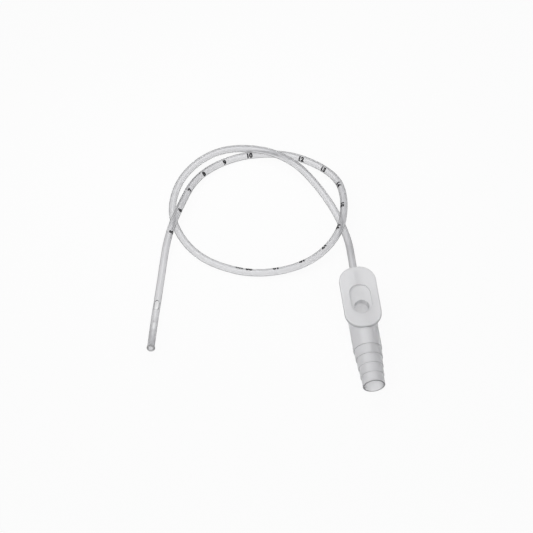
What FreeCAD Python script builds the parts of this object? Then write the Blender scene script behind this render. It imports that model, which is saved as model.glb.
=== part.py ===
import FreeCAD, Part
import Sketcher
import math
import os

os.makedirs("parts", exist_ok=True)
doc = FreeCAD.newDocument("suction_catheter")
Vec = FreeCAD.Vector

# Driving sizes in millimetres. The valve's own frame starts at the open end of its connector,
# y runs along its axis to the nose and z points up through the thumb plate.
sizes = doc.addObject("Spreadsheet::Sheet", "sizes")
values = {
    "land_spacing": 3.68,
    "first_land_diameter": 7.95,
    "second_land_diameter": 8.5,
    "third_land_diameter": 9.05,
    "fourth_land_diameter": 9.7,
    "step_chamfer": 0.15,
    "barrel_diameter": 10.3,
    "barrel_reach": 22.0,
    "shoulder_reach": 3.0,
    "nose_diameter": 5.2,
    "nose_reach": 6.68,
    "lumen_diameter": 6.8,
    "lumen_cone_reach": 3.4,
    "throat_length": 1.8,
    "socket_depth": 6.0,
    "socket_clearance": 0.02,
    "plate_length": 25.3,
    "plate_width": 13.2,
    "plate_end_flat": 1.2,
    "plate_thickness": 1.5,
    "plate_sink": 0.4,
    "plate_edge_radius": 0.5,
    "recess_length": 12.4,
    "recess_width": 7.5,
    "recess_depth": 0.8,
    "recess_floor_radius": 0.4,
    "recess_setback": 5.3,
    "vent_diameter": 5.2,
    "vent_setback": 3.45,
    "rib_thickness": 1.6,
    "rib_inset": 1.4,
    "rib_root": 1.0,
    "tube_diameter": 2.67,
    "tube_bore": 1.75,
    "first_run": 12.0,
    "bead_diameter": 3.05,
    "bead_lip": 0.35,
    "eye_length": 4.0,
    "eye_width": 1.5,
    "eye_to_tip": 20.0,
    "eye_spacing": 7.6,
}
for row, (name, value) in enumerate(values.items(), start=1):
    sizes.set("A%d" % row, name)
    sizes.set("B%d" % row, str(value))
    sizes.setAlias("B%d" % row, name)
doc.recompute()


def size(name):
    return float(sizes.get(name))


def closed_profile(sketch, corners):
    # Straight-sided outline; each corner holds its two expressions, and None puts it on the axis.
    points = [Vec(0.0 if x is None else doc_value(x), doc_value(y), 0) for x, y in corners]
    count = len(points)
    for i in range(count):
        sketch.addGeometry(Part.LineSegment(points[i], points[(i + 1) % count]))
    for i in range(count):
        sketch.addConstraint(Sketcher.Constraint("Coincident", i, 2, (i + 1) % count, 1))
    for i, (x, y) in enumerate(corners):
        if x is None:
            sketch.addConstraint(Sketcher.Constraint("PointOnObject", i, 1, -2))
        else:
            k = sketch.addConstraint(Sketcher.Constraint("DistanceX", -1, 1, i, 1, points[i].x))
            sketch.setExpression("Constraints[%d]" % k, x)
        if y == "0":
            sketch.addConstraint(Sketcher.Constraint("PointOnObject", i, 1, -1))
        else:
            k = sketch.addConstraint(Sketcher.Constraint("DistanceY", -1, 1, i, 1, points[i].y))
            sketch.setExpression("Constraints[%d]" % k, y)


def doc_value(expression):
    # First position of a corner, before its constraint takes over.
    sizes.set("D1", "=" + expression.replace("sizes.", ""))
    doc.recompute([sizes])
    found = float(sizes.get("D1"))
    sizes.clear("D1")
    return found


def plane_of(body, role):
    return [f for f in body.Origin.OriginFeatures if f.Role == role][0]


def sketch_on(body, role, label):
    sketch = body.newObject("Sketcher::SketchObject", label)
    sketch.AttachmentSupport = [(plane_of(body, role), "")]
    sketch.MapMode = "FlatFace"
    return sketch


def rounded_slot(sketch, half_x, flat, y_front, y_back):
    # Rectangle about the Y axis with equal corner arcs. The ends keep a flat of the given
    # length, or close to full half rounds where flat is None.
    w = doc_value(half_x)
    f = 0.0 if flat is None else doc_value(flat) / 2
    y0 = doc_value(y_front)
    y1 = doc_value(y_back)
    r = w - f
    add = sketch.addGeometry
    con = sketch.addConstraint
    Z = Vec(0, 0, 1)
    if flat is None:
        right = add(Part.LineSegment(Vec(w, y0 + r, 0), Vec(w, y1 - r, 0)))
        back = add(Part.ArcOfCircle(Part.Circle(Vec(0, y1 - r, 0), Z, r), 0, math.pi))
        left = add(Part.LineSegment(Vec(-w, y1 - r, 0), Vec(-w, y0 + r, 0)))
        front = add(Part.ArcOfCircle(Part.Circle(Vec(0, y0 + r, 0), Z, r), math.pi, 2 * math.pi))
        con(Sketcher.Constraint("Tangent", right, 2, back, 1))
        con(Sketcher.Constraint("Tangent", back, 2, left, 1))
        con(Sketcher.Constraint("Tangent", left, 2, front, 1))
        con(Sketcher.Constraint("Tangent", front, 2, right, 1))
        con(Sketcher.Constraint("PointOnObject", back, 3, -2))
        con(Sketcher.Constraint("Vertical", right))
        k = con(Sketcher.Constraint("Radius", back, r))
        sketch.setExpression("Constraints[%d]" % k, half_x)
        k = con(Sketcher.Constraint("DistanceY", -1, 1, front, 3, y0 + r))
        sketch.setExpression("Constraints[%d]" % k, "%s + %s" % (y_front, half_x))
        k = con(Sketcher.Constraint("DistanceY", -1, 1, back, 3, y1 - r))
        sketch.setExpression("Constraints[%d]" % k, "%s - %s" % (y_back, half_x))
        return
    right = add(Part.LineSegment(Vec(w, y0 + r, 0), Vec(w, y1 - r, 0)))
    back_right = add(Part.ArcOfCircle(Part.Circle(Vec(f, y1 - r, 0), Z, r), 0, math.pi / 2))
    back = add(Part.LineSegment(Vec(f, y1, 0), Vec(-f, y1, 0)))
    back_left = add(Part.ArcOfCircle(Part.Circle(Vec(-f, y1 - r, 0), Z, r), math.pi / 2, math.pi))
    left = add(Part.LineSegment(Vec(-w, y1 - r, 0), Vec(-w, y0 + r, 0)))
    front_left = add(Part.ArcOfCircle(Part.Circle(Vec(-f, y0 + r, 0), Z, r), math.pi, 1.5 * math.pi))
    front = add(Part.LineSegment(Vec(-f, y0, 0), Vec(f, y0, 0)))
    front_right = add(Part.ArcOfCircle(Part.Circle(Vec(f, y0 + r, 0), Z, r), 1.5 * math.pi, 2 * math.pi))
    ring = [right, back_right, back, back_left, left, front_left, front, front_right]
    for i, edge in enumerate(ring):
        con(Sketcher.Constraint("Tangent", edge, 2, ring[(i + 1) % 8], 1))
    con(Sketcher.Constraint("Vertical", right))
    con(Sketcher.Constraint("Equal", back_right, back_left))
    con(Sketcher.Constraint("Equal", back_right, front_right))
    con(Sketcher.Constraint("Symmetric", back, 1, back, 2, -2))
    k = con(Sketcher.Constraint("Radius", back_right, r))
    sketch.setExpression("Constraints[%d]" % k, "%s - %s / 2" % (half_x, flat))
    k = con(Sketcher.Constraint("DistanceX", back, 2, back, 1, 2 * f))
    sketch.setExpression("Constraints[%d]" % k, flat)
    k = con(Sketcher.Constraint("DistanceY", -1, 1, front, 1, y0))
    sketch.setExpression("Constraints[%d]" % k, y_front)
    k = con(Sketcher.Constraint("DistanceY", -1, 1, back, 1, y1))
    sketch.setExpression("Constraints[%d]" % k, y_back)


def edges_where(shape, test):
    return ["Edge%d" % (i + 1) for i, edge in enumerate(shape.Edges) if test(edge)]


# Control valve: one moulding of barrel, stepped connector, nose, thumb plate and rib.
valve = doc.addObject("PartDesign::Body", "control_valve")
valve.Label = "control_valve"
overall = "(4 * sizes.land_spacing + sizes.barrel_reach + sizes.shoulder_reach + sizes.nose_reach)"
valve.setExpression("Placement.Base.y", "-%s / 2" % overall)
valve.setExpression("Placement.Base.z", "sizes.barrel_diameter / 2")

# Outside of the turned form, from the open end through four lands to the nose.
outside = sketch_on(valve, "XY_Plane", "outside_profile")
lands = ["first", "second", "third", "fourth"]
corners = [(None, "0")]
for i, land in enumerate(lands):
    radius = "sizes.%s_land_diameter / 2" % land
    start = "0" if i == 0 else "%d * sizes.land_spacing" % i
    after = "sizes.step_chamfer" if i == 0 else start + " + sizes.step_chamfer"
    corners.append((radius + " - sizes.step_chamfer", start))
    corners.append((radius, after))
    corners.append((radius, "%d * sizes.land_spacing" % (i + 1)))
corners.append(("sizes.barrel_diameter / 2 - sizes.step_chamfer", "4 * sizes.land_spacing"))
corners.append(("sizes.barrel_diameter / 2", "4 * sizes.land_spacing + sizes.step_chamfer"))
corners.append(("sizes.barrel_diameter / 2", "4 * sizes.land_spacing + sizes.barrel_reach"))
corners.append(("sizes.nose_diameter / 2",
                "4 * sizes.land_spacing + sizes.barrel_reach + sizes.shoulder_reach"))
corners.append(("sizes.nose_diameter / 2", overall))
corners.append((None, overall))
closed_profile(outside, corners)
turned = valve.newObject("PartDesign::Revolution", "turned_form")
turned.Profile = outside
turned.ReferenceAxis = (outside, ["V_Axis"])
turned.Angle = 360

# Thumb plate, flush with the nose end and sunk a little into the top of the barrel.
plate_under = "(sizes.barrel_diameter / 2 - sizes.plate_sink)"
plate_top = "(%s + sizes.plate_thickness)" % plate_under
plate_front = "(%s - sizes.plate_length)" % overall
plate_outline = sketch_on(valve, "XY_Plane", "plate_outline")
plate_outline.setExpression("AttachmentOffset.Base.z", plate_under)
rounded_slot(plate_outline, "(sizes.plate_width / 2)", "sizes.plate_end_flat", plate_front, overall)
plate = valve.newObject("PartDesign::Pad", "thumb_plate")
plate.Profile = plate_outline
plate.setExpression("Length", "sizes.plate_thickness")
doc.recompute()

plate_rim = valve.newObject("PartDesign::Fillet", "plate_rim")
top_height = doc_value(plate_top)
plate_rim.Base = (plate, edges_where(plate.Shape, lambda e: abs(e.BoundBox.ZMin - top_height) < 1e-4))
plate_rim.setExpression("Radius", "min(sizes.plate_edge_radius; 0.45 * sizes.plate_thickness)")

# Rib that carries the back of the plate over the shoulder and the nose.
rib_outline = sketch_on(valve, "XY_Plane", "rib_outline")
rib_start = "(4 * sizes.land_spacing + sizes.barrel_reach - sizes.rib_root)"
rib_end = "(%s - sizes.rib_inset)" % overall
half_rib = doc_value("sizes.rib_thickness / 2")
ya = doc_value(rib_start)
yb = doc_value(rib_end)
loop = [Vec(-half_rib, ya, 0), Vec(half_rib, ya, 0), Vec(half_rib, yb, 0), Vec(-half_rib, yb, 0)]
for i in range(4):
    rib_outline.addGeometry(Part.LineSegment(loop[i], loop[(i + 1) % 4]))
for i in range(4):
    rib_outline.addConstraint(Sketcher.Constraint("Coincident", i, 2, (i + 1) % 4, 1))
rib_outline.addConstraint(Sketcher.Constraint("Symmetric", 0, 1, 0, 2, -2))
rib_outline.addConstraint(Sketcher.Constraint("Symmetric", 2, 1, 2, 2, -2))
rib_outline.addConstraint(Sketcher.Constraint("Vertical", 1))
k = rib_outline.addConstraint(Sketcher.Constraint("DistanceX", 0, 1, 0, 2, 2 * half_rib))
rib_outline.setExpression("Constraints[%d]" % k, "sizes.rib_thickness")
k = rib_outline.addConstraint(Sketcher.Constraint("DistanceY", -1, 1, 0, 1, ya))
rib_outline.setExpression("Constraints[%d]" % k, rib_start)
k = rib_outline.addConstraint(Sketcher.Constraint("DistanceY", -1, 1, 2, 1, yb))
rib_outline.setExpression("Constraints[%d]" % k, rib_end)
rib = valve.newObject("PartDesign::Pad", "plate_rib")
rib.Profile = rib_outline
rib.setExpression("Length", plate_under + " + sizes.plate_thickness / 3")

# Lumen, its cone down to the tube's bore, and the socket that the tube is bonded into.
inside = sketch_on(valve, "XY_Plane", "lumen_profile")
socket_floor = "(%s - sizes.socket_depth)" % overall
throat_start = "(%s - sizes.throat_length)" % socket_floor
inside_corners = [
    (None, "0"),
    ("sizes.lumen_diameter / 2", "0"),
    ("sizes.lumen_diameter / 2", "%s - sizes.lumen_cone_reach" % throat_start),
    ("sizes.tube_bore / 2", throat_start),
    ("sizes.tube_bore / 2", socket_floor),
    ("sizes.tube_diameter / 2 + sizes.socket_clearance", socket_floor),
    ("sizes.tube_diameter / 2 + sizes.socket_clearance", overall),
    (None, overall),
]
closed_profile(inside, inside_corners)
lumen = valve.newObject("PartDesign::Groove", "lumen")
lumen.Profile = inside
lumen.ReferenceAxis = (inside, ["V_Axis"])
lumen.Angle = 360

# Recess for the thumb, and the vent port through its floor into the lumen.
recess_front = "(%s + sizes.recess_setback)" % plate_front
recess_back = "(%s + sizes.recess_length)" % recess_front
recess_outline = sketch_on(valve, "XY_Plane", "recess_outline")
recess_outline.setExpression("AttachmentOffset.Base.z", plate_top)
rounded_slot(recess_outline, "(sizes.recess_width / 2)", None, recess_front, recess_back)
recess = valve.newObject("PartDesign::Pocket", "thumb_recess")
recess.Profile = recess_outline
recess.setExpression("Length", "sizes.recess_depth")
doc.recompute()

floor_height = doc_value("%s - sizes.recess_depth" % plate_top)
recess_floor = valve.newObject("PartDesign::Fillet", "recess_floor")
recess_floor.Base = (recess, edges_where(recess.Shape, lambda e: abs(e.BoundBox.ZMin - floor_height) < 1e-4
                                         and abs(e.BoundBox.ZMax - floor_height) < 1e-4))
recess_floor.setExpression("Radius", "min(sizes.recess_floor_radius; 0.6 * sizes.recess_depth)")

vent_outline = sketch_on(valve, "XY_Plane", "vent_outline")
vent_place = "(%s + sizes.vent_setback)" % recess_front
vent_y = doc_value(vent_place)
vent_r = doc_value("sizes.vent_diameter / 2")
vent_outline.addGeometry(Part.Circle(Vec(0, vent_y, 0), Vec(0, 0, 1), vent_r))
vent_outline.addConstraint(Sketcher.Constraint("PointOnObject", 0, 3, -2))
k = vent_outline.addConstraint(Sketcher.Constraint("Radius", 0, vent_r))
vent_outline.setExpression("Constraints[%d]" % k, "sizes.vent_diameter / 2")
k = vent_outline.addConstraint(Sketcher.Constraint("DistanceY", -1, 1, 0, 3, vent_y))
vent_outline.setExpression("Constraints[%d]" % k, vent_place)
vent = valve.newObject("PartDesign::Pocket", "vent_port")
vent.Profile = vent_outline
vent.Reversed = True
vent.setExpression("Length", plate_top)
doc.recompute()

# Route of the tube: straight out of the nose, down to the table, round the loose knot and
# along to the tip. The first two points follow the valve, and the others lie as in the picture.
axis_height = size("barrel_diameter") / 2
nose_end = doc_value(overall) / 2
start_y = nose_end - size("socket_depth")
route = [
    (0.0, start_y, axis_height),
    (0.0, start_y + size("first_run"), axis_height),
    (0.5, 41.4, 1.7),
    (-2.3, 54.9, 1.36),
    (-7.9, 66.8, 2.98),
    (-14.7, 76.6, 4.7),
    (-26.2, 84.4, 4.7),
    (-42.8, 86.8, 3.6),
    (-57.1, 78.3, 1.36),
    (-63.2, 61.9, 1.36),
    (-59.3, 47.5, 1.36),
    (-50.8, 37.4, 1.36),
    (-34.6, 30.3, 1.36),
    (-15.6, 31.7, 2.6),
    (-2.7, 41.5, 4.8),
    (1.6, 56.5, 4.8),
    (0.2, 69.8, 3.0),
    (-13.0, 81.8, 1.36),
    (-27.9, 84.7, 1.36),
    (-41.2, 82.5, 1.36),
    (-52.4, 74.7, 3.0),
    (-59.4, 61.2, 4.7),
    (-65.1, 49.3, 4.7),
    (-69.9, 30.2, 1.36),
    (-74.4, 11.6, 1.36),
    (-75.9, 2.4, 4.9),
]
route = [Vec(*p) for p in route]

edges = []
radii = []
here = route[0]
for before, corner, after in zip(route[:-2], route[1:-1], route[2:]):
    inward = (corner - before).normalize()
    outward = (after - corner).normalize()
    turn = inward.getAngle(outward)
    reach = 0.45 * min((corner - before).Length, (after - corner).Length)
    radii.append(reach / math.tan(turn / 2))
    begin = corner - inward * reach
    end = corner + outward * reach
    toward = (outward - inward).normalize()
    middle = corner + toward * (radii[-1] / math.cos(turn / 2) - radii[-1])
    edges.append(Part.LineSegment(here, begin).toShape())
    edges.append(Part.Arc(begin, middle, end).toShape())
    here = end
edges.append(Part.LineSegment(here, route[-1]).toShape())
path = doc.addObject("Part::Feature", "tube_path")
path.Shape = Part.Wire(edges)
print("arc radii", [round(r, 1) for r in radii])


def swept(label, expression):
    ring = doc.addObject("Part::Circle", label + "_section")
    ring.setExpression("Radius", expression)
    ring.Placement = FreeCAD.Placement(route[0], FreeCAD.Rotation(Vec(0, 0, 1), route[1] - route[0]))
    run = doc.addObject("Part::Sweep", label)
    run.Sections = [ring]
    run.Spine = (path, [])
    run.Solid = True
    run.Frenet = False
    return run


tube_outside = swept("tube_outside", "sizes.tube_diameter / 2")
tube_inside = swept("tube_inside", "sizes.tube_bore / 2")

# Rounded bead round the open tip, on the line of the last run.
last = (route[-1] - route[-2]).normalize()
bead = doc.addObject("Part::Torus", "tip_bead")
bead.setExpression("Radius1", "sizes.bead_diameter / 2 - sizes.bead_lip")
bead.setExpression("Radius2", "sizes.bead_lip")
bead.Placement = FreeCAD.Placement(route[-1], FreeCAD.Rotation(Vec(0, 0, 1), last))
tube_with_bead = doc.addObject("Part::MultiFuse", "tube_with_bead")
tube_with_bead.Shapes = [tube_outside, bead]
hollow = doc.addObject("Part::Cut", "hollow_tube")
hollow.Base = tube_with_bead
hollow.Tool = tube_inside


# Side eyes: each is an oval hole punched from the middle of the bore out through one wall.
def eye_cutter(label, back_from_tip, side):
    left = back_from_tip
    for edge in reversed(edges):
        if left <= edge.Length:
            break
        left -= edge.Length
    at = edge.getParameterByLength(edge.Length - left)
    along = edge.tangentAt(at).normalize()
    across = along.cross(Vec(0, 0, 1)).normalize()
    outline = doc.addObject("Sketcher::SketchObject", label + "_outline")
    rounded_slot(outline, "sizes.eye_width / 2", None, "-sizes.eye_length / 2", "sizes.eye_length / 2")
    turn = FreeCAD.Rotation(across * side, along, across.cross(along) * side, "XYZ")
    outline.Placement = FreeCAD.Placement(edge.valueAt(at), turn)
    punch = doc.addObject("Part::Extrusion", label)
    punch.Base = outline
    punch.DirMode = "Normal"
    punch.Solid = True
    punch.setExpression("LengthFwd", "sizes.tube_diameter")
    return punch


upper_eye = eye_cutter("upper_eye", size("eye_to_tip"), 1)
lower_eye = eye_cutter("lower_eye", size("eye_to_tip") - size("eye_spacing"), -1)
eyes = doc.addObject("Part::MultiFuse", "eye_cutters")
eyes.Shapes = [upper_eye, lower_eye]
tube = doc.addObject("Part::Cut", "catheter_tube")
tube.Label = "catheter_tube"
tube.Base = hollow
tube.Tool = eyes

doc.recompute()
for item in doc.Objects:
    if "Invalid" in item.State or "Error" in item.State:
        raise RuntimeError("failed: " + item.Name)
    shape = getattr(item, "Shape", None)
    if shape is not None and item.TypeId != "PartDesign::Body":
        if item.TypeId.startswith(("Part::", "PartDesign::")) and (shape.isNull() or not shape.isValid()):
            raise RuntimeError("bad shape: " + item.Name)

length = path.Shape.Length
plain = math.pi * (size("tube_diameter") ** 2 - size("tube_bore") ** 2) / 4 * length
swept_volume = tube_outside.Shape.Volume - tube_inside.Shape.Volume
print("tube length", round(length, 1), "section times length", round(plain, 2), "swept", round(swept_volume, 2))

for node in (valve, tube):
    if node.Shape.isNull() or not node.Shape.isValid() or len(node.Shape.Solids) != 1:
        raise RuntimeError("bad node: " + node.Label)
    box = node.Shape.BoundBox
    print(node.Label, "volume", round(node.Shape.Volume, 1), "from", round(box.XMin, 2), round(box.YMin, 2),
          round(box.ZMin, 2), "to", round(box.XMax, 2), round(box.YMax, 2), round(box.ZMax, 2))
    node.Shape.exportStep("parts/" + node.Label + ".step")
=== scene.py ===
import math

import bmesh
import bpy
from mathutils import Matrix, Vector


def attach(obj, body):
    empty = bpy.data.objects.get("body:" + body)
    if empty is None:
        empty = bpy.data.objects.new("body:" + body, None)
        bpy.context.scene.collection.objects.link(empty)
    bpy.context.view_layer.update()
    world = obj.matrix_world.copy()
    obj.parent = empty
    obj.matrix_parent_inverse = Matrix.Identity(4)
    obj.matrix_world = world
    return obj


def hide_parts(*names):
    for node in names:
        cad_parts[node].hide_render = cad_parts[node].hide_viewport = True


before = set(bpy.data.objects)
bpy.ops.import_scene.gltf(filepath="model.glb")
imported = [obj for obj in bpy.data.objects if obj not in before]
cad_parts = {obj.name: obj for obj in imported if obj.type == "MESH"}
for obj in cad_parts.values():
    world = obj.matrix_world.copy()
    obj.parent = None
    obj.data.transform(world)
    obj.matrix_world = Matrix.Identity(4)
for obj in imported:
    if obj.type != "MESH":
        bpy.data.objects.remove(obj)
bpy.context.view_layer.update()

scene = bpy.context.scene
MM = 0.001

# Control valve
# One moulding of soft milky plastic: a turned barrel with a stepped connector and a nose, a
# thumb plate on a rib over it, and a vent port through the plate into the lumen. It is shaped
# in millimetres and brought to metres at the end.
land_spacing = 3.68
land_radii = [3.975, 4.25, 4.525, 4.85]
barrel_radius = 5.15
connector_length = len(land_radii) * land_spacing
barrel_end = connector_length + 22.0
shoulder_end = barrel_end + 3.0
nose_radius = 2.6
valve_length = shoulder_end + 6.68
lumen_radius = 3.4
lumen_end = 35.2
throat_start = lumen_end + 3.4
throat_radius = 0.875
socket_start = valve_length - 6.0
socket_radius = 1.355
open_end = -valve_length / 2
plate_half = Vector((6.6, 12.65))
plate_corner = 6.0
plate_under = 9.9
plate_top = 11.4
plate_middle = valve_length / 2 - plate_half.y
recess_half = Vector((3.75, 6.2))
recess_middle = 9.4
recess_floor = plate_top - 0.8
vent_middle = 6.65
vent_radius = 2.6
vent_lip = 0.25
same_place = 1e-4
sharp_angle = math.radians(20)


def as_object(bm, name):
    """Turns a bmesh into an object at the origin."""
    mesh = bpy.data.meshes.new(name)
    bm.to_mesh(mesh)
    bm.free()
    made = bpy.data.objects.new(name, mesh)
    scene.collection.objects.link(made)
    return made


def spin_profile(bm, profile, centre, axis, steps):
    """Spins an open line of points once round an axis into a closed shape."""
    corners = [bm.verts.new(where) for where in profile]
    edges = [bm.edges.new(pair) for pair in zip(corners, corners[1:])]
    bmesh.ops.spin(bm, geom=corners + edges, cent=centre, axis=axis, dvec=(0, 0, 0), angle=2 * math.pi,
                   steps=steps, use_merge=True)
    bmesh.ops.remove_doubles(bm, verts=bm.verts, dist=same_place)
    poles = [v for v in bm.verts if len(v.link_edges) == steps]
    bmesh.ops.dissolve_verts(bm, verts=poles)
    bmesh.ops.recalc_face_normals(bm, faces=bm.faces)


def turned(profile, name, rounding=0.0, steps=96):
    """Spins a profile of (distance from the open end, radius) pairs about the valve's axis."""
    bm = bmesh.new()
    points = [(r, open_end + y, barrel_radius) for y, r in profile]
    spin_profile(bm, points, (0, 0, barrel_radius), (0, 1, 0), steps)
    if rounding:
        sharp = [e for e in bm.edges if len(e.link_faces) == 2 and e.calc_face_angle() > sharp_angle]
        bmesh.ops.bevel(bm, geom=sharp, offset=rounding, offset_type="OFFSET", affect="EDGES", segments=3,
                        profile=0.5, material=-1, clamp_overlap=True)
    return as_object(bm, name)


nearly_whole = 0.9999


def slot_block(half, corner, middle, low, high, name, top_rounding=0.0, low_rounding=0.0):
    """Upright block with rounded corners, standing over the valve's axis."""
    bm = bmesh.new()
    plan = bmesh.ops.create_grid(bm, x_segments=1, y_segments=1, size=1.0)["verts"]
    bmesh.ops.scale(bm, vec=(half.x, half.y, 1), verts=plan)
    bmesh.ops.bevel(bm, geom=plan, offset=corner * nearly_whole, offset_type="OFFSET", affect="VERTICES",
                    segments=24, profile=0.5, material=-1, clamp_overlap=True)
    bmesh.ops.translate(bm, vec=(0, middle, low), verts=bm.verts)
    raised = bmesh.ops.extrude_face_region(bm, geom=bm.faces[:])["geom"]
    top = [v for v in raised if isinstance(v, bmesh.types.BMVert)]
    bmesh.ops.translate(bm, vec=(0, 0, high - low), verts=top)
    bmesh.ops.recalc_face_normals(bm, faces=bm.faces)
    for height, rounding in ((high, top_rounding), (low, low_rounding)):
        if rounding:
            rim = [e for e in bm.edges if all(abs(v.co.z - height) < same_place for v in e.verts)]
            bmesh.ops.bevel(bm, geom=rim, offset=rounding, offset_type="OFFSET", affect="EDGES", segments=6,
                            profile=0.5, material=-1, clamp_overlap=True)
    return as_object(bm, name)


def combine(body, tool, operation, weld=1e-3):
    """Joins or cuts the body with a tool, welds what lies in one place, and removes the tool."""
    step = body.modifiers.new(operation.lower(), "BOOLEAN")
    step.operation = operation
    step.solver = "EXACT"
    step.object = tool
    step.material_mode = "TRANSFER"
    shape = bpy.data.meshes.new_from_object(body.evaluated_get(bpy.context.evaluated_depsgraph_get()))
    bm = bmesh.new()
    bm.from_mesh(shape)
    bmesh.ops.remove_doubles(bm, verts=bm.verts, dist=weld)
    bmesh.ops.dissolve_degenerate(bm, edges=bm.edges, dist=weld / 10)
    bm.to_mesh(shape)
    bm.free()
    body.modifiers.clear()
    body.data = shape
    bpy.data.objects.remove(tool)


outside = [(0.0, 0.0)]
for i, radius in enumerate(land_radii):
    outside += [(i * land_spacing, radius), ((i + 1) * land_spacing, radius)]
outside += [(connector_length, barrel_radius), (barrel_end, barrel_radius), (shoulder_end, nose_radius),
            (valve_length, nose_radius), (valve_length, 0.0)]
inside = [(-1, 0.0), (-1, lumen_radius), (lumen_end, lumen_radius), (throat_start, throat_radius),
          (socket_start, throat_radius), (socket_start, socket_radius), (valve_length + 1, socket_radius),
          (valve_length + 1, 0.0)]

valve = turned(outside, "control_valve_moulding", rounding=0.1)
plate = slot_block(plate_half, plate_corner, plate_middle, plate_under, plate_top, "thumb_plate",
                   top_rounding=0.5, low_rounding=0.12)
combine(valve, plate, "UNION")

rib_half = Vector((0.8, 4.64))
rib_corner = 0.3
rib_setback = 1.4
rib_foot = barrel_radius + socket_radius + 0.3
rib = slot_block(rib_half, rib_corner, valve_length / 2 - rib_setback - rib_half.y, rib_foot,
                 plate_under + 0.5, "plate_rib")
combine(valve, rib, "UNION")
combine(valve, turned(inside, "lumen"), "DIFFERENCE")
recess = slot_block(recess_half, recess_half.x, recess_middle, recess_floor, plate_top + 1, "thumb_recess",
                    low_rounding=0.4)
combine(valve, recess, "DIFFERENCE")
vent_steps = 72
bm = bmesh.new()
mouth = [(0, barrel_radius), (vent_radius, barrel_radius), (vent_radius, recess_floor - vent_lip)]
mouth += [(vent_radius + vent_lip * (1 - math.cos(a)), recess_floor - vent_lip + vent_lip * math.sin(a))
          for a in (math.radians(d) for d in (22.5, 45, 67.5))]
mouth += [(vent_radius + 2 * vent_lip, recess_floor + 0.4 * vent_lip),
          (vent_radius + 2 * vent_lip, recess_floor + vent_lip), (0, recess_floor + vent_lip)]
spin_profile(bm, [(r, vent_middle, z) for r, z in mouth], (0, vent_middle, 0), (0, 0, 1), vent_steps)
combine(valve, as_object(bm, "vent_port"), "DIFFERENCE")
valve.data.transform(Matrix.Scale(MM, 4))


def cool_grey(tone):
    """Grey with a trace of blue."""
    return tone, tone, min(tone * 1.01, 1), 1


def soft_plastic(name, roughness, transmission, turns, tones, haze_tone, haze_density):
    """See-through plastic that lets light through to the table, darker where it is seen edge on: partly the
    longer path through the plastic, partly painted shade standing in for the darker surroundings seen at its
    edges.
    """
    plastic = bpy.data.materials.new(name)
    plastic.use_nodes = True
    nodes = plastic.node_tree.nodes
    links = plastic.node_tree.links
    skin = nodes["Principled BSDF"]
    skin.inputs["Roughness"].default_value = roughness
    skin.inputs["IOR"].default_value = 1.5
    skin.inputs["Transmission Weight"].default_value = transmission
    # Painted shade at the edges: the Facing ramp darkens the base colour edge on, partly for the longer path
    # through the plastic.
    facing = nodes.new("ShaderNodeLayerWeight")
    thickness_and_edge_shade = nodes.new("ShaderNodeValToRGB")
    for stop, turn, tone in zip(thickness_and_edge_shade.color_ramp.elements, turns, tones):
        stop.position = turn
        stop.color = (tone, tone, tone + 0.01, 1)
    links.new(facing.outputs["Facing"], thickness_and_edge_shade.inputs["Fac"])
    links.new(thickness_and_edge_shade.outputs["Color"], skin.inputs["Base Color"])
    haze = nodes.new("ShaderNodeVolumeAbsorption")
    haze.inputs["Color"].default_value = (haze_tone, haze_tone, haze_tone + 0.01, 1)
    haze.inputs["Density"].default_value = haze_density
    links.new(haze.outputs[0], nodes["Material Output"].inputs["Volume"])
    ray = nodes.new("ShaderNodeLightPath")
    letting_light_in = nodes.new("ShaderNodeBsdfTransparent")
    letting_light_in.inputs["Color"].default_value = (0.9, 0.9, 0.9, 1)
    lit_through = nodes.new("ShaderNodeMixShader")
    links.new(ray.outputs["Is Shadow Ray"], lit_through.inputs["Fac"])
    links.new(skin.outputs[0], lit_through.inputs[1])
    links.new(letting_light_in.outputs[0], lit_through.inputs[2])
    links.new(lit_through.outputs[0], nodes["Material Output"].inputs["Surface"])
    return plastic


def add_look(piece, base, look, face_on, edge_on, transmission, roughness):
    """Adds a copy of the base plastic to a piece, with its own tones face on and edge on."""
    other = base.copy()
    other.name = base.name + "_" + look
    skin = other.node_tree.nodes["Principled BSDF"]
    skin.inputs["Transmission Weight"].default_value = transmission
    skin.inputs["Roughness"].default_value = roughness
    tones = other.node_tree.nodes["Color Ramp"].color_ramp.elements
    tones[0].color = cool_grey(face_on)
    tones[1].color = cool_grey(edge_on)
    piece.data.materials.append(other)


milky_roughness = 0.45
milky = soft_plastic("milky_soft_plastic", milky_roughness, transmission=0.7, turns=(0.6, 1.0),
                     tones=(0.97, 0.92), haze_tone=0.7, haze_density=30.0)
nodes = milky.node_tree.nodes
links = milky.node_tree.links
place = nodes.new("ShaderNodeTexCoord")
grain = nodes.new("ShaderNodeTexNoise")
grain.inputs["Scale"].default_value = 900
grain.inputs["Detail"].default_value = 3
links.new(place.outputs["Object"], grain.inputs["Vector"])
relief = nodes.new("ShaderNodeBump")
relief.inputs["Strength"].default_value = 0.12
relief.inputs["Distance"].default_value = 0.00005
links.new(grain.outputs["Fac"], relief.inputs["Height"])
links.new(relief.outputs["Normal"], nodes["Principled BSDF"].inputs["Normal"])
valve.data.materials.clear()
valve.data.materials.append(milky)
# Copies of the milky plastic for parts of the valve, each with its own tones and share of light let through.
# The rim, open end, recess floor and recess wall copies carry painted shade: darker tones where faces turn
# from the lamp or lie in the recess.
milky_looks = {
    "rim": (0.76, 0.6, 0.6),
    "open_end": (0.35, 0.25, 0.6),
    "plate": (0.9, 0.86, 0.3),
    "recess_floor": (0.86, 0.8, 0.2),
    "lumen": (0.98, 0.94, 0.8),
    "recess_wall_painted_shade": (0.9, 0.8, 0.3),
}
for look, (face_on, edge_on, transmission) in milky_looks.items():
    add_look(valve, milky, look, face_on, edge_on, transmission, milky_roughness)
slot = {look: i + 1 for i, look in enumerate(milky_looks)}
edge_band = 0.12
slack = 0.05
step_places = [open_end + (i + 1) * land_spacing for i in range(len(land_radii))]
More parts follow.
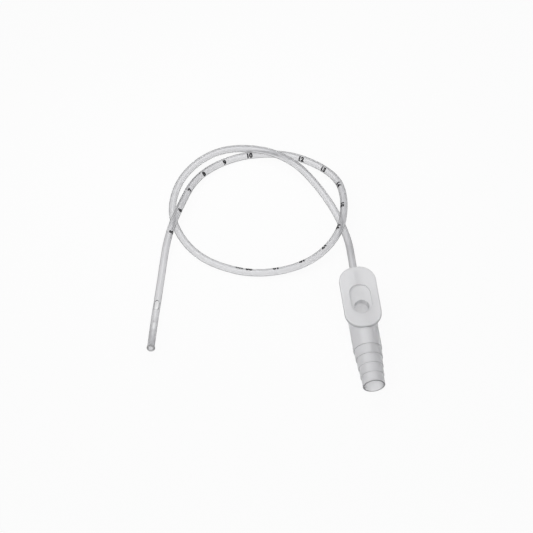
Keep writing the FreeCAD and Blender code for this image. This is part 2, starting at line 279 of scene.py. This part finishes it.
for polygon in valve.data.polygons:
    polygon.use_smooth = True
    x, y, z = polygon.center / MM
    normal = polygon.normal
    from_axis = math.hypot(x, z - barrel_radius)
    in_vent = math.hypot(x, y - vent_middle) < vent_radius + 0.6
    in_recess = abs(x) < recess_half.x + slack and abs(y - recess_middle) < recess_half.y + slack
    at_step = min(abs(y - step) for step in step_places) < edge_band
    # Painted shade: the front face of the open end, turned away from the lamp, takes the darkest tones.
    if y < open_end + edge_band and normal.y < -0.5:
        polygon.material_index = slot["open_end"]
    elif from_axis < lumen_radius + 0.1 and y < throat_start + open_end:
        polygon.material_index = slot["lumen"]
    # Painted shade: the shoulders of the connector's steps, facing the front, take the darker rim tones.
    elif from_axis > lumen_radius + 0.2 and normal.y < -0.5 and at_step:
        polygon.material_index = slot["rim"]
    elif z > plate_top - 0.02:
        polygon.material_index = slot["plate"]
    # Painted shade in the recess: its floor takes darker tones than the plate, and its walls darker tones
    # edge on.
    elif in_recess and z > recess_floor - 0.02:
        polygon.material_index = slot["recess_floor"] if normal.z > 0.5 else slot["recess_wall_painted_shade"]
    # Painted shade: the plate's side walls take the darker rim tones.
    elif z > plate_under + slack and not in_vent and not in_recess:
        polygon.material_index = slot["plate"] if abs(normal.z) > 0.5 else slot["rim"]
    elif z > plate_under - slack and normal.z < -0.9:
        polygon.material_index = slot["plate"]
valve.data.set_sharp_from_angle(angle=math.radians(30))
even = valve.modifiers.new("even_shading", "WEIGHTED_NORMAL")
even.keep_sharp = True
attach(valve, "root")
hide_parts("control_valve")

# Catheter tube
# Soft clear plastic tube, bonded into the nose and laid in a loose knot that passes over and
# under itself. Its open tip has a rounded bead and it has two side eyes, one each side.
tube_radius = 1.335 * MM
bore_radius = 0.875 * MM
bead_radius = 1.525 * MM
bead_lip = 0.35 * MM
route = [
    (0.0, 17.2, 5.15),
    (0.0, 29.2, 5.15),
    (0.5, 41.4, 1.7),
    (-2.3, 54.9, 1.36),
    (-7.9, 66.8, 2.98),
    (-14.7, 76.6, 4.7),
    (-26.2, 84.4, 4.7),
    (-42.8, 86.8, 3.6),
    (-57.1, 78.3, 1.36),
    (-63.2, 61.9, 1.36),
    (-59.3, 47.5, 1.36),
    (-50.8, 37.4, 1.36),
    (-34.6, 30.3, 1.36),
    (-15.6, 31.7, 2.6),
    (-2.7, 41.5, 4.8),
    (1.6, 56.5, 4.8),
    (0.2, 69.8, 3.0),
    (-13.0, 81.8, 1.36),
    (-27.9, 84.7, 1.36),
    (-41.2, 82.5, 1.36),
    (-52.4, 74.7, 3.0),
    (-59.4, 61.2, 4.7),
    (-65.1, 49.3, 4.7),
    (-69.9, 30.2, 1.36),
    (-74.4, 11.6, 1.36),
    (-75.9, 2.4, 4.9),
]
curve = bpy.data.curves.new("tube_route", "CURVE")
curve.dimensions = "3D"
spline = curve.splines.new("NURBS")
spline.points.add(len(route) - 1)
for point, where in zip(spline.points, route):
    point.co = (*(Vector(where) * MM), 1)
spline.order_u = 3
spline.use_endpoint_u = True
spline.resolution_u = 34
route_object = bpy.data.objects.new("tube_route", curve)
scene.collection.objects.link(route_object)
line = bpy.data.meshes.new_from_object(route_object)
centres = [v.co.copy() for v in line.vertices]
bpy.data.objects.remove(route_object)

along = [0.0]
for a, b in zip(centres, centres[1:]):
    along.append(along[-1] + (b - a).length)
tube_length = along[-1]
headings = [(b - a).normalized() for a, b in zip(centres, centres[1:])]
headings.append(headings[-1])


def section(distance):
    """Centre, heading, right and up of the tube at a distance along it from the nose end."""
    k = 0
    while k < len(along) - 2 and along[k + 1] < distance:
        k += 1
    share = (distance - along[k]) / (along[k + 1] - along[k])
    heading = headings[k].lerp(headings[k + 1], min(max(share, 0), 1)).normalized()
    right = heading.cross(Vector((0, 0, 1))).normalized()
    return centres[k].lerp(centres[k + 1], share), heading, right, right.cross(heading)


def ring_matrix(distance, radius):
    """Places a ring of a given radius square to the tube at a distance along it."""
    centre, heading, right, up = section(distance)
    turn = Matrix((right, up, -heading)).transposed().to_4x4()
    return Matrix.Translation(centre) @ turn @ Matrix.Scale(radius, 4)


lip_centre = bead_radius - bead_lip
lip_from = -math.acos((tube_radius - lip_centre) / bead_lip)
lip_to = math.acos((bore_radius - lip_centre) / bead_lip)
lip_begins = tube_length + bead_lip * math.sin(lip_from)
stations = [(distance, tube_radius) for distance in along if distance < lip_begins]
lip_steps = 12
lip_start = len(stations)
lip_end = lip_start + lip_steps
for i in range(lip_steps + 1):
    a = lip_from + (lip_to - lip_from) * i / lip_steps
    stations.append((tube_length + bead_lip * math.sin(a), lip_centre + bead_lip * math.cos(a)))
stations += [(distance, bore_radius) for distance in reversed(along)]

lip_shade_look, eye_wall_shadow_look, bore_look = 1, 2, 3
ring_sides = 48
bm = bmesh.new()
rings = []
for distance, radius in stations:
    ring = bmesh.ops.create_circle(bm, segments=ring_sides, radius=1.0, matrix=ring_matrix(distance, radius))
    rings.append(ring["verts"])
for k, (before, after) in enumerate(zip(rings, rings[1:] + rings[:1])):
    for i in range(ring_sides):
        beside = (i + 1) % ring_sides
        face = bm.faces.new((before[i], before[beside], after[beside], after[i]))
        if lip_start <= k < lip_end:
            face.material_index = lip_shade_look
        elif lip_end <= k < len(rings) - 1:
            face.material_index = bore_look
bmesh.ops.recalc_face_normals(bm, faces=bm.faces)
tube = as_object(bm, "catheter_tube_clear")

clear_roughness = 0.34
# The clear tube's tones go much darker edge on, partly from the path through the wall and partly as painted
# shade.
clear = soft_plastic("clear_soft_plastic", clear_roughness, transmission=0.88, turns=(0.3, 0.6),
                     tones=(0.95, 0.38), haze_tone=0.85, haze_density=200.0)
tube.data.materials.append(clear)
# Painted shade: the bead's lip takes darker tones than the tube.
add_look(tube, clear, "lip", 0.65, 0.5, transmission=0.5, roughness=clear_roughness)
# Painted shadow: the walls of the punched eyes take near-black tones.
add_look(tube, clear, "cut", 0.18, 0.14, transmission=0.6, roughness=clear_roughness)
add_look(tube, clear, "bore", 1.0, 1.0, transmission=1.0, roughness=0.1)

eye_half = Vector((0.75, 2.0))
for back_from_tip, side in ((20.0 * MM, 1), (12.4 * MM, -1)):
    centre, heading, right, up = section(tube_length - back_from_tip)
    punch = slot_block(eye_half, eye_half.x, 0.0, 0.0, 2 * tube_radius / MM, "eye_punch")
    turn = Matrix((right * side, heading, up * side)).transposed().to_4x4()
    punch.data.transform(Matrix.Translation(centre) @ turn @ Matrix.Scale(MM, 4))
    # The eye walls take the near-black tones, a painted shadow in the wall's thickness.
    punch.data.materials.append(tube.data.materials[eye_wall_shadow_look])
    combine(tube, punch, "DIFFERENCE", weld=1e-3 * MM)

for polygon in tube.data.polygons:
    polygon.use_smooth = True
tube.data.set_sharp_from_angle(angle=math.radians(40))
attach(tube, "root")
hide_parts("catheter_tube")

# Depth numerals
# Black ink printed on the tube, one numeral for each centimetre from the tip, from 5 to 20,
# and the unit after the last. They read from the tip towards the valve, and stand a hundredth
# wider apart than a centimetre along this route.
digit_height = 1.65 * MM
print_lift = 0.012 * MM
print_turn = math.radians(45)
first_number = 5
first_mark = 50.4
mark_spacing = 10.1
unit_mark = 205.6
labels = [(str(n), (first_mark + mark_spacing * (n - first_number)) * MM) for n in range(first_number, 21)]
labels.append(("cm", unit_mark * MM))
ink_height_share = 0.1
capital_share = 0.7
cuts_each_way = 6
cut_spacing = digit_height / 10
ink_mesh = bmesh.new()
for text, from_tip in labels:
    font = bpy.data.curves.new("numeral", "FONT")
    font.body = text
    font.align_x = "CENTER"
    font.align_y = "CENTER"
    font.size = digit_height / capital_share
    font.offset = 0.03 * MM
    font.bevel_depth = 0.14 * MM
    font.bevel_resolution = 0
    font.resolution_u = 4
    font_object = bpy.data.objects.new("numeral", font)
    scene.collection.objects.link(font_object)
    flat = bpy.data.meshes.new_from_object(font_object)
    bpy.data.objects.remove(font_object)
    letter = bmesh.new()
    letter.from_mesh(flat)
    under = [f for f in letter.faces if f.calc_center_median().z < -1e-8]
    bmesh.ops.delete(letter, geom=under, context="FACES")
    for cut in range(-cuts_each_way, cuts_each_way + 1):
        bmesh.ops.bisect_plane(letter, geom=letter.verts[:] + letter.edges[:] + letter.faces[:], dist=1e-8,
                               plane_co=(0, cut * cut_spacing, 0), plane_no=(0, 1, 0))
    for v in letter.verts:
        centre, heading, right, up = section(tube_length - from_tip - v.co.x)
        a = print_turn + v.co.y / tube_radius
        height = tube_radius + print_lift + ink_height_share * v.co.z
        v.co = centre + (up * math.sin(a) - right * math.cos(a)) * height
    letter.to_mesh(flat)
    letter.free()
    ink_mesh.from_mesh(flat)
    bpy.data.meshes.remove(flat)
numerals = as_object(ink_mesh, "depth_numerals")
ink = bpy.data.materials.new("black_ink")
ink.use_nodes = True
skin = ink.node_tree.nodes["Principled BSDF"]
skin.inputs["Base Color"].default_value = (0.012, 0.012, 0.014, 1)
skin.inputs["Roughness"].default_value = 0.45
numerals.data.materials.append(ink)
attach(numerals, "root")

# Table
# A plain pale surface under the part, seen as white.
bm = bmesh.new()
bmesh.ops.create_grid(bm, x_segments=1, y_segments=1, size=3.0)
table = as_object(bm, "table")
paper = bpy.data.materials.new("white_table")
paper.use_nodes = True
nodes = paper.node_tree.nodes
links = paper.node_tree.links
matt = nodes["Principled BSDF"]
matt.inputs["Base Color"].default_value = (0.8, 0.8, 0.8, 1)
matt.inputs["Roughness"].default_value = 0.9
glow = nodes.new("ShaderNodeEmission")
glow.inputs["Color"].default_value = (1, 1, 1, 1)
glow.inputs["Strength"].default_value = 1.0
ray = nodes.new("ShaderNodeLightPath")
through = nodes.new("ShaderNodeMath")
through.operation = "MAXIMUM"
links.new(ray.outputs["Is Glossy Ray"], through.inputs[0])
links.new(ray.outputs["Is Transmission Ray"], through.inputs[1])
seen = nodes.new("ShaderNodeMath")
seen.operation = "MAXIMUM"
links.new(ray.outputs["Is Camera Ray"], seen.inputs[0])
links.new(through.outputs[0], seen.inputs[1])
share = nodes.new("ShaderNodeMath")
share.operation = "MULTIPLY"
glow_share = 0.93
share.inputs[1].default_value = glow_share
links.new(seen.outputs[0], share.inputs[0])
blend = nodes.new("ShaderNodeMixShader")
links.new(share.outputs[0], blend.inputs["Fac"])
links.new(matt.outputs[0], blend.inputs[1])
links.new(glow.outputs[0], blend.inputs[2])
links.new(blend.outputs[0], nodes["Material Output"].inputs["Surface"])
table.data.materials.append(paper)

# Light
# A pale studio that is bright overhead and darker towards the horizon, and a soft lamp above.
world = bpy.data.worlds.new("studio")
scene.world = world
world.use_nodes = True
nodes = world.node_tree.nodes
links = world.node_tree.links
nodes.clear()
place = nodes.new("ShaderNodeTexCoord")
height = nodes.new("ShaderNodeVectorMath")
height.operation = "DOT_PRODUCT"
height.inputs[1].default_value = (-0.3, -0.5, 0.75)
links.new(place.outputs["Generated"], height.inputs[0])
ramp = nodes.new("ShaderNodeValToRGB")
links.new(height.outputs["Value"], ramp.inputs["Fac"])
stops = ramp.color_ramp.elements
stops[0].position = 0.0
stops[0].color = (0.12, 0.12, 0.125, 1)
stops[1].position = 0.75
stops[1].color = (0.98, 0.98, 0.98, 1)
middle_stop = stops.new(0.3)
middle_stop.color = (0.34, 0.34, 0.35, 1)
studio = nodes.new("ShaderNodeBackground")
links.new(ramp.outputs["Color"], studio.inputs["Color"])
white = nodes.new("ShaderNodeBackground")
white.inputs["Color"].default_value = (1, 1, 1, 1)
ray = nodes.new("ShaderNodeLightPath")
choose = nodes.new("ShaderNodeMixShader")
links.new(ray.outputs["Is Camera Ray"], choose.inputs["Fac"])
links.new(studio.outputs[0], choose.inputs[1])
links.new(white.outputs[0], choose.inputs[2])
out = nodes.new("ShaderNodeOutputWorld")
links.new(choose.outputs[0], out.inputs["Surface"])

lamp = bpy.data.lights.new("overhead_softbox", "AREA")
lamp.shape = "RECTANGLE"
lamp.size = 0.12
lamp.size_y = 0.1
lamp.energy = 0.05
lamp_object = bpy.data.objects.new("overhead_softbox", lamp)
lamp_object.location = (-0.05, 0.085, 0.1)
lamp_aim = Vector((-0.02, 0.03, 0)) - lamp_object.location
lamp_object.rotation_euler = lamp_aim.to_track_quat("-Z", "Y").to_euler()
scene.collection.objects.link(lamp_object)

# Camera
# Looks down steeply at the part from in front, from a little to its left.
camera_distance = 0.9
camera_rise = math.radians(56.5)
camera_turn = math.radians(7.3)
aim = Vector((-30.55, 34.66, 0.0)) * MM
pixels_per_metre = 2750
image_width = 533
lens = bpy.data.cameras.new("camera")
lens.sensor_width = 36
lens.lens = lens.sensor_width * pixels_per_metre * camera_distance / image_width
lens.clip_start = 0.05
camera = bpy.data.objects.new("camera", lens)
back = Vector((-math.sin(camera_turn) * math.cos(camera_rise),
               -math.cos(camera_turn) * math.cos(camera_rise),
               math.sin(camera_rise)))
camera.location = aim + back * camera_distance
camera.rotation_euler = (-back).to_track_quat("-Z", "Y").to_euler()
scene.collection.objects.link(camera)
scene.camera = camera

scene.view_settings.view_transform = "Standard"
